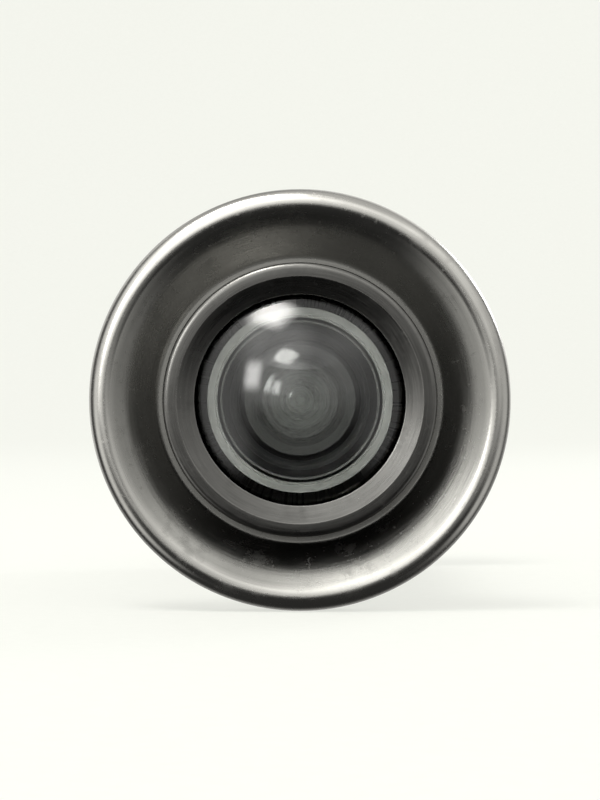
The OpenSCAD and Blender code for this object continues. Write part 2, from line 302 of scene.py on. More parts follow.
def rod(radius, y0, y1, up=0.0):
    """A plain round cutter along the viewing axis, its centre this far above it."""
    return moved(Turning(64).along([(0, y0), (radius, y0), (radius, y1), (0, y1)]).mesh("cutter"), z=up)


# --- Nodes ----------------------------------------------------------------------------


class Nodes:
    """Short calls that add nodes to a tree. A value is a number, a colour or a node's output."""

    def __init__(self, tree):
        self.tree = tree

    def feed(self, socket, value):
        if isinstance(value, bpy.types.NodeSocket):
            self.tree.links.new(value, socket)
        elif isinstance(value, tuple) and len(value) == 3 and len(socket.default_value) == 4:
            socket.default_value = (*value, 1)
        else:
            socket.default_value = value

    def node(self, kind, **inputs):
        made = self.tree.nodes.new(kind)
        for key, value in inputs.items():
            self.feed(made.inputs[key], value)
        return made

    def math(self, operation, a, b=0.0, clamp=False):
        made = self.tree.nodes.new("ShaderNodeMath")
        made.operation = operation
        made.use_clamp = clamp
        self.feed(made.inputs[0], a)
        self.feed(made.inputs[1], b)
        return made.outputs[0]

    def span(self, value, low, high, to_low=0.0, to_high=1.0, smooth=False):
        """Maps value from low..high to to_low..to_high, held at both ends."""
        made = self.node("ShaderNodeMapRange", Value=value)
        made.interpolation_type = "SMOOTHSTEP" if smooth else "LINEAR"
        ends = {"From Min": low, "From Max": high, "To Min": to_low, "To Max": to_high}
        for key, number in ends.items():
            self.feed(made.inputs[key], number)
        return made.outputs[0]

    def mix(self, factor, a, b):
        made = self.tree.nodes.new("ShaderNodeMix")
        made.data_type = "RGBA"
        for index, value in ((0, factor), (6, a), (7, b)):
            self.feed(made.inputs[index], value)
        return made.outputs[2]

    def dot(self, value, axis):
        made = self.tree.nodes.new("ShaderNodeVectorMath")
        made.operation = "DOT_PRODUCT"
        self.feed(made.inputs[0], value)
        self.feed(made.inputs[1], axis)
        return made.outputs["Value"]


class Paint(Nodes):
    """A material under construction."""

    SOCKETS = {
        "color": "Base Color", "metal": "Metallic", "rough": "Roughness", "ior": "IOR",
        "clear": "Transmission Weight", "spec": "Specular IOR Level", "normal": "Normal",
        "glow": "Emission Strength", "glow_color": "Emission Color",
    }

    def __init__(self, name):
        self.material = bpy.data.materials.new(name)
        self.material.use_nodes = True
        super().__init__(self.material.node_tree)
        self.tree.nodes.clear()
        self.out = self.tree.nodes.new("ShaderNodeOutputMaterial")
        self.shader = self.tree.nodes.new("ShaderNodeBsdfPrincipled")
        self.feed(self.out.inputs["Surface"], self.shader.outputs[0])
        # The point on the surface, in the row frame at rest
        self.place = self.node("ShaderNodeTexCoord").outputs["Object"]
        self.x, self.y, self.z = self.node("ShaderNodeSeparateXYZ", Vector=self.place).outputs

    def set(self, **values):
        for key, value in values.items():
            self.feed(self.shader.inputs[self.SOCKETS[key]], value)

    def joined(self, x, y, z=0.0):
        return self.node("ShaderNodeCombineXYZ", X=x, Y=y, Z=z).outputs[0]

    def radius(self):
        """Distance from the viewing axis, in metres."""
        squares = self.math("ADD", self.math("POWER", self.x, 2), self.math("POWER", self.z, 2))
        return self.math("SQRT", squares)

    def angle(self):
        return self.math("ARCTAN2", self.x, self.z)

    def noise(self, scale, detail=3.0, rough=0.55, at=None, distort=0.0):
        made = self.node(
            "ShaderNodeTexNoise", Vector=at or self.place, Scale=scale, Detail=detail,
            Roughness=rough, Distortion=distort,
        )
        return made.outputs["Fac"]

    def attribute(self, name):
        made = self.tree.nodes.new("ShaderNodeAttribute")
        made.attribute_name = name
        return made.outputs["Fac"]

    def bump(self, height, strength, depth, under=None):
        made = self.node("ShaderNodeBump", Height=height, Strength=strength, Distance=depth)
        if under is not None:
            self.feed(made.inputs["Normal"], under)
        return made.outputs[0]


# --- Materials ------------------------------------------------------------------------


def shaded(color, share):
    return tuple(channel * share for channel in color)


def ring_mask(p, start, end, blur=0.00035):
    """1 on the outside face between two radii in metres, and 0 elsewhere. It places the painted shade of the
    flange's dish.
    """
    radius = p.radius()
    outward = p.span(radius, start - blur, start + blur)
    inward = p.span(radius, end + blur, end - blur)
    on_front = p.span(p.y, -0.0013, -0.0017)
    return p.math("MULTIPLY", p.math("MULTIPLY", outward, inward), on_front)


def metal(name, color, wear, rough, lines=1.0, dark_ring=None):
    """Turned and plated metal. It has fine circular tool lines, cloudy polish, patches of dirt,
    and bright edges in the wear colour. dark_ring is (colour, start, end) of painted shade: a
    ring about the axis on the front face, the flange's dished recess, painted darker in that colour."""
    p = Paint(name)
    # Tool lines are noise that is long round the axis and short across it
    along = p.joined(p.radius(), p.y, p.math("MULTIPLY", p.angle(), 0.0004))
    fine = p.noise(9000, 2, 0.6, at=along)
    broad = p.noise(1700, 3, 0.6, at=along)
    cloud = p.noise(190, 5, 0.6)
    grime = p.noise(520, 6, 0.68)
    specks = p.noise(2600, 2, 0.5)

    base = p.mix(p.span(cloud, 0.3, 0.7), color, shaded(color, 0.82))
    both = p.math("ADD", p.math("MULTIPLY", fine, 0.6), p.math("MULTIPLY", broad, 0.4))
    rub = p.span(both, 0.38, 0.62)
    base = p.mix(p.math("MULTIPLY", rub, 0.16 * lines), base, wear)
    # Painted shade: the front face between the two radii, the flange's dish, is painted a little unevenly darker,
    # standing for shade in the recess
    if dark_ring:
        recess_shade_color, start, end = dark_ring
        uneven = p.span(grime, 0.25, 0.75, 0.86, 1.0)
        base = p.mix(p.math("MULTIPLY", ring_mask(p, start, end), uneven), base, recess_shade_color)
    worn = p.math("MULTIPLY", p.span(p.attribute("bulge"), 0.8, 4.0), 0.6)
    base = p.mix(p.math("MULTIPLY", worn, p.span(grime, 0.35, 0.6, 0.35, 1.0)), base, wear)
    soil = p.math("MULTIPLY", p.span(grime, 0.55, 0.78), 0.35)
    base = p.mix(soil, base, shaded(color, 0.35))

    gloss = p.math("ADD", rough, p.span(cloud, 0.25, 0.75, -0.05, 0.07))
    gloss = p.math("ADD", gloss, p.math("MULTIPLY", rub, 0.06 * lines))
    gloss = p.math("ADD", gloss, p.math("MULTIPLY", soil, 0.5))
    gloss = p.math("ADD", gloss, p.span(specks, 0.66, 0.74, 0.0, 0.12), clamp=True)

    normal = p.bump(fine, 0.10 * lines, 0.00002)
    normal = p.bump(broad, 0.12 * lines, 0.00004, normal)
    normal = p.bump(specks, 0.05, 0.00003, normal)
    p.set(color=base, metal=1.0, rough=gloss, normal=normal)
    return p.material


def black_metal(name):
    """Matt black anodised rings with fine light-trap lines."""
    p = Paint(name)
    lines = p.noise(5200, 1, 0.5, at=p.joined(p.radius(), p.y))
    dust = p.noise(1500, 5, 0.7)
    color = p.mix(p.span(dust, 0.55, 0.75, 0, 0.6), (0.040, 0.040, 0.041), (0.085, 0.085, 0.083))
    rough = p.span(dust, 0.3, 0.7, 0.42, 0.6)
    p.set(color=color, metal=0.35, rough=rough, normal=p.bump(lines, 0.25, 0.00003))
    return p.material


def rubber(name):
    """Dull black rubber, with dust where it gathers."""
    p = Paint(name)
    grain = p.noise(3800, 4, 0.7)
    dust = p.noise(420, 6, 0.7)
    color = p.mix(p.span(dust, 0.48, 0.72, 0, 0.7), (0.013, 0.013, 0.0135), (0.05, 0.049, 0.046))
    rough = p.span(dust, 0.3, 0.7, 0.62, 0.82)
    p.set(color=color, rough=rough, spec=0.35, normal=p.bump(grain, 0.35, 0.00004))
    return p.material


def nylon(name):
    """Cloudy off-white nylon."""
    p = Paint(name)
    cloud = p.noise(900, 5, 0.6)
    color = p.mix(p.span(cloud, 0.3, 0.7), (0.60, 0.58, 0.52), (0.47, 0.45, 0.39))
    rough = p.span(cloud, 0.3, 0.7, 0.38, 0.52)
    p.set(color=color, rough=rough, normal=p.bump(p.noise(5000, 2), 0.2, 0.00003))
    return p.material


def glass(name, tint, haze):
    """Optical glass with faint wiping marks and a few specks of dust."""
    p = Paint(name)
    wipe = p.noise(420, 3, 0.55, distort=0.8)
    dust = p.noise(6400, 2, 0.5)
    marks = p.span(wipe, 0.5, 0.75, 0.0, haze)
    rough = p.math("ADD", marks, p.span(dust, 0.72, 0.76, 0.0, 0.14))
    color = p.mix(p.span(wipe, 0.35, 0.75), tint, shaded(tint, 0.97))
    p.set(color=color, rough=rough, clear=1.0, ior=1.52)
    return p.material


def edge_black(name):
    """The black lacquer on a lens's ground edge."""
    p = Paint(name)
    grain = p.noise(4200, 3, 0.6)
    color = p.mix(grain, (0.014, 0.014, 0.015), (0.020, 0.020, 0.021))
    rough = p.span(grain, 0.3, 0.7, 0.55, 0.68)
    p.set(color=color, rough=rough, normal=p.bump(grain, 0.08, 0.00002))
    return p.material


def ground_glass(name):
    """The fine ground flat on the back of a lens."""
    p = Paint(name)
    grain = p.noise(5200, 4, 0.65)
    cloud = p.noise(700, 3, 0.5)
    color = p.mix(p.span(cloud, 0.35, 0.65), (0.52, 0.53, 0.51), (0.42, 0.43, 0.415))
    rough = p.span(grain, 0.3, 0.7, 0.45, 0.65)
    p.set(color=color, rough=rough, normal=p.bump(grain, 0.25, 0.00002))
    return p.material


# The flange's dish, from 8.2 to 11.7 mm out, is painted darker through dark_ring: painted shade in the recess
NICKEL = metal(
    "nickel", (0.46, 0.453, 0.43), (0.62, 0.61, 0.585), 0.20,
    dark_ring=((0.22, 0.218, 0.206), 0.0082, 0.0117),
)
NICKEL_BARREL = metal("nickel_barrel", (0.31, 0.305, 0.29), (0.5, 0.49, 0.47), 0.27, lines=1.6)
BEZEL = metal("black_nickel", (0.095, 0.094, 0.09), (0.21, 0.207, 0.198), 0.24, lines=1.2)
SATIN = metal("nickel_satin", (0.33, 0.325, 0.31), (0.52, 0.51, 0.49), 0.30, lines=1.5)
COVER_INSIDE = metal("nickel_inside", (0.33, 0.325, 0.31), (0.45, 0.44, 0.42), 0.36, lines=0.3)
KNOB = metal("nickel_knob", (0.36, 0.355, 0.34), (0.55, 0.54, 0.52), 0.18, lines=0.8)
STEEL = metal("spring_steel", (0.45, 0.445, 0.43), (0.6, 0.59, 0.57), 0.24, lines=0.6)
BLACK = black_metal("black_anodised")
RUBBER = rubber("black_rubber")
NYLON = nylon("natural_nylon")
GLASS_FRONT = glass("front_glass", (0.91, 0.93, 0.92), haze=0.02)
GLASS = glass("lens_glass", (0.93, 0.95, 0.94), haze=0.012)
LACQUER = edge_black("edge_lacquer")
GROUND = ground_glass("ground_glass")


# --- Sizes ----------------------------------------------------------------------------


def edge_of(node, axis, low=False):
    """Where a CAD node ends along x, y or z, in millimetres, at its high end or at its low one."""
    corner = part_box(node)[0 if low else 1]
    return round(corner["xyz".index(axis)] / MM, 3)


# Door and outside half
DOOR_T = round(MOUNTS["inner_seat"]["pos_m"][1] / MM, 3)
BARREL_R = MOUNTS["door_hole_barrel"]["dims"]["r_mm"]
BARREL_END = edge_of("objective_barrel", "y")
HEAD_R, ROLL_R = edge_of("objective_barrel", "x"), 0.9
RIM_Y, DISH_Y = edge_of("objective_barrel", "y", low=True), -1.9
FOOT_R, BOSS_R = 8.9, 7.5
PLAY = 0.05
LENS_R, LENS_EDGE_Y, LENS_BACK_Y = edge_of("front_lens", "x"), -3.6, edge_of("front_lens", "y")
POCKET_R, POCKET_Y = LENS_R + PLAY, -1.2
CHAMBER_R, CHAMBER_END = edge_of("rear_lens", "x") + PLAY, edge_of("rear_lens", "y")
SHOULDER_R, SHOULDER_END = 4.9, 10.5
NUT_R, NUT_CREST_R, NUT_START = 5.8, 6.3, 12.8
NUT_RELIEF_R, NUT_MOUTH = 6.4, 0.5
GASKET_IN_R, GASKET_OUT_R = 7.8, edge_of("outside_gasket", "x")
GASKET_T, GASKET_PROUD = 1.0, 0.3
GROOVE_IN_R = GASKET_IN_R - 0.1


def height_of(node, low=False):
    """Where a CAD node ends above the door's inside face, in millimetres."""
    return round(edge_of(node, "y", low) - DOOR_T, 3)


# Rosette and cover, with their heights from the door's inside face
ROSETTE_R, ROSETTE_H = edge_of("rosette", "x"), height_of("rosette")
RECESS_R, RECESS_FLOOR, ROSETTE_HOLE_R = 8.2, 1.8, 6.45
PIN_R, RIVET_HEAD_R = 1.1, edge_of("cover_pivot_rivet", "x")
COVER_R = -edge_of("cover_flap", "z", low=True)
COVER_Y, COVER_TOP = height_of("cover_flap", low=True), height_of("cover_flap")
EAR_R, EAR_T = 2.5, 1.0
HOLLOW_R, HOLLOW_T = 7.8, 0.6
KNOB_R, KNOB_TOP, KNOB_STEM_R = edge_of("cover_knob", "x"), height_of("cover_knob"), 0.7
# How far the rivet and the knob are above the viewing axis
PIVOT_UP = round(JOINTS["cover_swing"]["pos_m"][2] / MM, 3)
KNOB_UP = (edge_of("cover_knob", "z") + edge_of("cover_knob", "z", low=True)) / 2

# Eyepiece. Its flange, face and pocket are counted from the door's inside face like the rosette,
# its tip and neck from the outside face
EYE_FLANGE_R, EYE_FACE = edge_of("eyepiece_barrel", "x"), height_of("eyepiece_barrel")
EYE_FLANGE_Y = height_of("slip_washer")
EYE_BORE_R, EYE_POCKET_R, EYE_POCKET_Y = 4.6, edge_of("eyepiece_lens", "x") + PLAY, -0.6
EYE_TIP = edge_of("eyepiece_barrel", "y", low=True)
NECK_R, NECK_Y = 6.2, 38.8
THREAD_ROOT_R, THREAD_R, THREAD_RUN_IN = 5.65, 6.15, 0.3
STOP_SEAT_R, STOP_SEAT_T = 4.95, 1.0


# --- Pieces of the outside half -------------------------------------------------------


def mark_edges(data):
    """Stores how tightly each point of a mesh bulges, in 1/mm, so that a finish can wear along edges."""
    shape = bmesh.new()
    shape.from_mesh(data)
    values = []
    for vert in shape.verts:
        spans = [edge.other_vert(vert).co - vert.co for edge in vert.link_edges]
        values.append(max(-2 * span.dot(vert.normal) / span.length_squared for span in spans) * MM)
    shape.free()
    data.attributes.new("bulge", "FLOAT", "POINT").data.foreach_set("value", values)


def finished(obj, node, body, slot, *materials):
    """Gives a new piece its materials and its body, and hides the CAD node that it stands for. slot is not used.
    """
    mark_edges(obj.data)
    obj.data.materials.clear()
    for material in materials:
        obj.data.materials.append(material)
    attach(obj, body)
    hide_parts(node)
    return obj


def rim_front():
    """The roll round the flange, from where the dish runs into it to the flange's widest point."""
    roll = (HEAD_R - ROLL_R, RIM_Y + ROLL_R)
    across = Vector((roll[0] - FOOT_R, roll[1] - DISH_Y))
    tilt = math.atan2(across.y, across.x) - math.asin(ROLL_R / across.length)
    return arc(roll, ROLL_R, math.degrees(tilt) - 90, 0, steps=28)


def barrel_shell():
    """The dished flange and its barrel, with the lens chamber and the internal thread."""
    bore = [
        (NUT_RELIEF_R, NUT_START, 0), (NUT_RELIEF_R, SHOULDER_END), (SHOULDER_R, SHOULDER_END),
        (SHOULDER_R, CHAMBER_END), (CHAMBER_R, CHAMBER_END, 0.03), (CHAMBER_R, POCKET_Y),
        (POCKET_R, POCKET_Y, 0.05), (POCKET_R, LENS_EDGE_Y), (BOSS_R, LENS_EDGE_Y),
    ]
    front = [(BOSS_R, DISH_Y, 0.05), (FOOT_R, DISH_Y, 0.5), *rim_front()]
    groove = [
        (HEAD_R, -GASKET_PROUD, 0.2), (GASKET_OUT_R + 0.2, -GASKET_PROUD),
        (GASKET_OUT_R + 0.2, -GASKET_T, 0.03), (GROOVE_IN_R, -GASKET_T, 0.03),
        (GROOVE_IN_R, -GASKET_PROUD), (BARREL_R, -GASKET_PROUD, 0.1),
    ]
    end = [
        (BARREL_R, BARREL_END - 0.4), (BARREL_R - 0.4, BARREL_END), (NUT_CREST_R, BARREL_END),
        (NUT_R, BARREL_END - NUT_MOUTH, 0),
    ]
    build = Turning().along(softened([*bore, *front, *groove, *end], closed=False))
    build.thread(BARREL_END - NUT_MOUTH, NUT_START, NUT_R, NUT_CREST_R, run_out=False).closed()
    obj = build.mesh("barrel_shell", sharp=40)
    finished(obj, "objective_barrel", "objective", "nickel_plate", NICKEL)


def bezel_ring():
    """The ring that holds the front lens. Its face leans in towards the glass."""
    outer_r, skirt_r, lip_r = edge_of("front_bezel", "x"), BOSS_R + PLAY, 6.45
    foot, top = edge_of("front_bezel", "y"), edge_of("front_bezel", "y", low=True)
    corners = [
        (skirt_r, foot), (outer_r, foot, 0.2), (outer_r, top, 0.45), (skirt_r, top, 0.12),
        (lip_r, top + 0.33, 0.06), (lip_r, LENS_EDGE_Y - 0.65, 0.03),
        (POCKET_R, LENS_EDGE_Y - 0.1, 0.03), (skirt_r, LENS_EDGE_Y - 0.02, 0.03),
    ]
    obj = turned("bezel_ring", corners, edge=0.06)
    finished(obj, "front_bezel", "objective", "bezel_plate", BEZEL)


def lens(name, node, body, slot, material, front, back, flat=LACQUER):
    """A lens with polished faces, a blackened edge and a flat on its back round the hollow, in its own
    finish. front and back are (edge y, half width, rise along y)."""
    edge_r = edge_of(node, "x")
    (front_y, front_r, _), (back_y, back_r, _) = front, back
    rim = [(front_r, front_y, 0), (edge_r, front_y, 0.05), (edge_r, back_y, 0.05), (back_r, back_y, 0)]
    build = Turning(2 * COLUMNS)
    build.along(dome(*front)[::-1])
    build.along(softened(rim, closed=False)[1:-1])
    build.along(dome(*back))
    obj = finished(build.mesh(name, sharp=20), node, body, slot, material, LACQUER, flat)
    near, rounding, level, steep = 0.001, 0.06, 0.999, 0.9
    for face in obj.data.polygons:
        x, y, z = face.center / MM
        r, facing = math.hypot(x, z), abs(face.normal.y)
        if facing > level and r > back_r and abs(y - back_y) < near:
            face.material_index = 2
        elif facing < steep and r > edge_r - rounding and front_y - near < y < back_y + near:
            face.material_index = 1


def spacer(name, node, bore_r, grooves, depth):
    """A black ring between two lenses, with light-trap grooves turned into its bore."""
    outer_r, y0, y1 = edge_of(node, "x"), edge_of(node, "y", low=True), edge_of(node, "y")
    corners = [(bore_r, y0), (outer_r, y0), (outer_r, y1), (bore_r, y1)]
    pitch = (y1 - y0) / (grooves + 0.5)
    for i in range(grooves):
        y = y1 - pitch * (i + 0.5)
        corners += [(bore_r, y, 0), (bore_r + depth, y - pitch / 2, 0)]
    finished(turned(name, corners, edge=0.05), node, "objective", "black_anodised", BLACK)


def gasket(name, node, body, seat_y, back_y):
    """A moulded gasket with three low ribs on the face that meets the door, at seat_y."""
    ribs, relief, land, slope = 3, 0.12, 0.15, 0.25
    valley_y = seat_y + math.copysign(relief, back_y - seat_y)
    width = (GASKET_OUT_R - GASKET_IN_R - 2 * land) / ribs
    corners = [(GASKET_IN_R, back_y, 0.1), (GASKET_OUT_R, back_y, 0.1), (GASKET_OUT_R, valley_y, 0.15)]
    for i in range(ribs):
        far = GASKET_OUT_R - land - i * width
        near = far - width
        corners += [(far, valley_y, 0.05), (far - slope, seat_y, 0.12)]
        corners += [(near + slope, seat_y, 0.12), (near, valley_y, 0.05)]
    corners.append((GASKET_IN_R, valley_y, 0.15))
    finished(turned(name, corners), node, body, "rubber", RUBBER)


barrel_shell()
bezel_ring()
lens(
    "lens_front", "front_lens", "objective", "front_glass", GLASS_FRONT,
    front=(LENS_EDGE_Y, LENS_R - 0.02, -3.0), back=(LENS_BACK_Y, 4.6, -2.9), flat=GROUND,
)
lens(
    "lens_middle", "middle_lens", "objective", "lens_glass", GLASS,
    front=(edge_of("front_spacer", "y"), 4.9, -0.9), back=(edge_of("middle_lens", "y"), 3.6, -2.26),
)
lens(
    "lens_rear", "rear_lens", "objective", "lens_glass", GLASS,
    front=(edge_of("rear_spacer", "y"), 4.4, 0.84), back=(CHAMBER_END, 4.2, -1.7),
)
spacer("spacer_front", "front_spacer", bore_r=4.95, grooves=7, depth=0.16)
spacer("spacer_rear", "rear_spacer", bore_r=4.6, grooves=3, depth=0.14)
gasket("gasket_outside", "outside_gasket", "objective", 0.0, -GASKET_T)
gasket("gasket_inside", "inside_gasket", "rosette", DOOR_T, DOOR_T + GASKET_T)


# --- Pieces of the inside half --------------------------------------------------------


def inside(corners):
    """Moves corners whose heights are from the door's inside face."""
    return [(radius, y + DOOR_T, *rest) for radius, y, *rest in corners]


def rosette_shell():
    """The inside flange, with a recess for the eyepiece, a groove for the gasket and the rivet's hole."""
    corners = [
        (ROSETTE_HOLE_R, GASKET_PROUD, 0.15), (GROOVE_IN_R, GASKET_PROUD),
        (GROOVE_IN_R, GASKET_T + 0.02, 0.03), (GASKET_OUT_R + 0.1, GASKET_T + 0.02, 0.03),
        (GASKET_OUT_R + 0.1, GASKET_PROUD), (ROSETTE_R, GASKET_PROUD, 0.2), (ROSETTE_R, 1.75, 0.12),
        (ROSETTE_R - 0.25, 1.9, 0.1), (ROSETTE_R - 0.55, ROSETTE_H - 0.12, 0.7),
        (ROSETTE_R - 1.5, ROSETTE_H, 0.3), (RECESS_R, ROSETTE_H, 0.3), (RECESS_R, RECESS_FLOOR, 0.05),
        (ROSETTE_HOLE_R, RECESS_FLOOR),
    ]
    shell = turned("rosette_shell", inside(corners), sharp=40)
    carved(shell, [rod(PIN_R + 0.01, DOOR_T - 1, DOOR_T + 5, PIVOT_UP)])
    finished(shell, "rosette", "rosette", "rosette_plate", SATIN)


def pivot_rivet():
    """The rivet that the cover swings on, its head dimpled where it was set."""
    foot, head = GASKET_T + 0.05, COVER_Y + EAR_T + 0.05
    corners = [
        (0, foot, 0), (PIN_R, foot), (PIN_R, head, 0.03), (RIVET_HEAD_R, head, 0.06),
        (RIVET_HEAD_R, head + 0.22, 0.12), (1.5, head + 0.56, 0.5), (0.75, head + 0.74, 0.4),
        (0.5, head + 0.72, 0.2), (0, head + 0.6, 0),
    ]
    obj = Turning(96).along(softened(corners, closed=False)).mesh("pivot_rivet", sharp=40)
    moved(obj, DOOR_T, PIVOT_UP)
    finished(obj, "cover_pivot_rivet", "rosette", "rivet_metal", STEEL)


def joined_rings(n, rings, closed=False):
    """Faces that join each ring of n points to the next one, and if closed the last to the first."""
    faces = []
    for ring in range(rings if closed else rings - 1):
        here, there = ring * n, (ring + 1) % rings * n
        for j in range(n):
            k = (j + 1) % n
            faces.append((here + j, here + k, there + k, there + j))
    return faces


def wave_washer():
    """A thin spring ring that rises and falls three times round the rivet."""
    bore_r, outer_r, thickness, waves, steps = 1.2, edge_of("cover_spring_washer", "x"), 0.18, 3, 96
    low, high = ROSETTE_H + 0.02, COVER_Y - 0.05
    middle, swing = (low + high) / 2, (high - low - thickness) / 2
    verts = []
    for j in range(steps):
        a = math.tau * j / steps
        y = DOOR_T + middle + swing * math.sin(waves * a)
        for r, side in ((bore_r, -1), (outer_r, -1), (outer_r, 1), (bore_r, 1)):
            verts.append((r * math.sin(a), y + side * thickness / 2, PIVOT_UP + r * math.cos(a)))
    obj = solid("wave_washer", verts, joined_rings(4, steps, closed=True))
    finished(obj, "cover_spring_washer", "rosette", "spring_steel", STEEL)


def eyepiece_shell():
    """The eyepiece barrel: its external thread, its flange with two slots, and the lens's pocket."""
    pocket, flange, face = DOOR_T + EYE_POCKET_Y, DOOR_T + EYE_FLANGE_Y, DOOR_T + EYE_FACE
    thread_start, stop_seat = EYE_TIP + THREAD_RUN_IN, EYE_TIP + STOP_SEAT_T
    tip = [
        (EYE_BORE_R, pocket, 0), (EYE_BORE_R, stop_seat), (STOP_SEAT_R, stop_seat, 0.02),
        (STOP_SEAT_R, EYE_TIP), (THREAD_ROOT_R, EYE_TIP, 0.15), (THREAD_ROOT_R, thread_start, 0),
    ]
    head = [
        (THREAD_ROOT_R, NECK_Y, 0), (NECK_R, NECK_Y, 0.1), (NECK_R, flange, 0.05),
        (EYE_FLANGE_R, flange, 0.1), (EYE_FLANGE_R, face, 0.28), (EYE_POCKET_R + 0.5, face, 0.1),
        (EYE_POCKET_R, face - 0.5, 0.1), (EYE_POCKET_R, pocket, 0.02), (EYE_BORE_R, pocket, 0),
    ]
    build = Turning().along(softened(tip, closed=False))
    build.thread(thread_start, NECK_Y, THREAD_ROOT_R, THREAD_R)
    build.along(softened(head, closed=False)[1:-1]).closed()
    obj = build.mesh("eyepiece_shell", sharp=40)
    half_l, half_t, half_w = 1.2, 0.6, 0.8
    slots = []
    for x in (-EYE_FLANGE_R, EYE_FLANGE_R):
        slots.append(block((x - half_l, face - half_t, -half_w), (x + half_l, face + half_t, half_w)))
    carved(obj, slots)
    finished(obj, "eyepiece_barrel", "eyepiece", "nickel_plate", NICKEL_BARREL)


def ear_outline(shrink):
    """Points (x, z) round the ear and the disc that it grows from, drawn in by shrink. They keep
    their order."""
    disc_r = COVER_R - 0.6
    meet = math.acos((disc_r - EAR_R) / PIVOT_UP)
    points = []
    for centre, radius, start, end, steps in (
        (PIVOT_UP, EAR_R, -meet, meet, 40),
        (0, disc_r, meet, math.tau - meet, 72),
    ):
        for i in range(steps + 1):
            a = start + (end - start) * i / steps
            points.append(((radius - shrink) * math.sin(a), centre + (radius - shrink) * math.cos(a)))
    return points


def ear():
    """The ear that carries the cover on its rivet: a flat blank with an eased upper edge."""
    lower_edge, ease, steps = 0.06, 0.22, 6
    levels = [(lower_edge, 0), (0, lower_edge)]
    for i in range(steps + 1):
        a = math.radians(90 * i / steps)
        levels.append((ease * (1 - math.cos(a)), EAR_T - ease + ease * math.sin(a)))
    levels.append((ease + 0.04, EAR_T))
    verts = []
    for shrink, y in levels:
        verts += [(x, DOOR_T + COVER_Y + y, z) for x, z in ear_outline(shrink)]
    n, count = len(verts) // len(levels), len(verts)
    caps = [tuple(range(n)), tuple(range(count - 1, count - 1 - n, -1))]
    return solid("ear", verts, caps + joined_rings(n, len(levels)))


def cover_leaf():
    """A pressed leaf: an eased edge, a raised ring round a slightly sunken middle, and a lower ear."""
    base, face, above = DOOR_T + COVER_Y, DOOR_T + COVER_TOP - 0.12, DOOR_T + 6
    seam, margin = base + 0.3, 0.05
    disc = [
        (0, seam, 0), (COVER_R, seam, 0), (COVER_R, face, 0.5), (7.6, face, 0.3),
        (7.3, face + 0.1, 0.2), (6.75, face + 0.1, 0.2), (6.4, face - 0.08, 0.3), (0, face - 0.08, 0),
    ]
    leaf = turned("cover_leaf", disc, sharp=40)
    under = turned("under", [(0, base), (COVER_R, base, 0.12), (COVER_R, seam, 0), (0, seam)])
    top = base + HOLLOW_T
    hollow = turned("hollow", [(0, base - 1), (HOLLOW_R, base - 1), (HOLLOW_R, top, 0.1), (0, top)])
    holes = [
        rod(PIN_R + PLAY, DOOR_T + 2, above, PIVOT_UP),
        rod(RIVET_HEAD_R + 0.2, base + EAR_T, above, PIVOT_UP),
        rod(KNOB_STEM_R + 0.02, base, above, KNOB_UP),
    ]
    carved(leaf, [hollow, *holes], joined=[under, ear()])
    finished(leaf, "cover_flap", "cover", "cover_plate", SATIN, COVER_INSIDE)
    for polygon in leaf.data.polygons:
        x, y, z = polygon.center / MM
        if y < top + margin and math.hypot(x, z) < HOLLOW_R - margin:
            polygon.material_index = 1


def cover_button():
    """The cover's knob: a stem, a neck and a flared head."""
    stem, face, top = COVER_Y + HOLLOW_T + 0.02, COVER_TOP - 0.2, KNOB_TOP
    neck_r = 1.1
    corners = [
        (0, stem, 0), (KNOB_STEM_R, stem), (KNOB_STEM_R, face + 0.01, 0.03), (neck_r, face + 0.01, 0.05),
        (neck_r, face + 0.85, 0.2), (KNOB_R - 0.15, face + 0.95, 0.15), (KNOB_R, face + 1.25, 0.15),
        (KNOB_R, top - 0.65, 0.15), (KNOB_R - 0.25, top - 0.25, 0.3), (0.9, top - 0.02, 0.3), (0, top, 0),
    ]
    obj = Turning(120).along(softened(corners, closed=False)).mesh("cover_button", sharp=40)
    moved(obj, DOOR_T, KNOB_UP)
    finished(obj, "cover_knob", "cover", "knob_plate", KNOB)


rosette_shell()
pivot_rivet()
wave_washer()
eyepiece_shell()
lens(
    "lens_eyepiece", "eyepiece_lens", "eyepiece", "lens_glass", GLASS,
    front=(DOOR_T - 0.59, 4.5, -1.2), back=(DOOR_T + 0.4, 4.5, 1.2),
)
cover_leaf()
cover_button()

# CAD nodes that keep their own shape
for node, material in {
    "front_lens_seal": RUBBER,
    "slip_washer": NYLON,
    "aperture_stop": BLACK,
    "eyepiece_lock_ring": BLACK,
    "cover_seal": RUBBER,
}.items():
    data = frame["nodes"][node].data
    data.materials.clear()
    data.materials.append(material)


# --- Studio ---------------------------------------------------------------------------


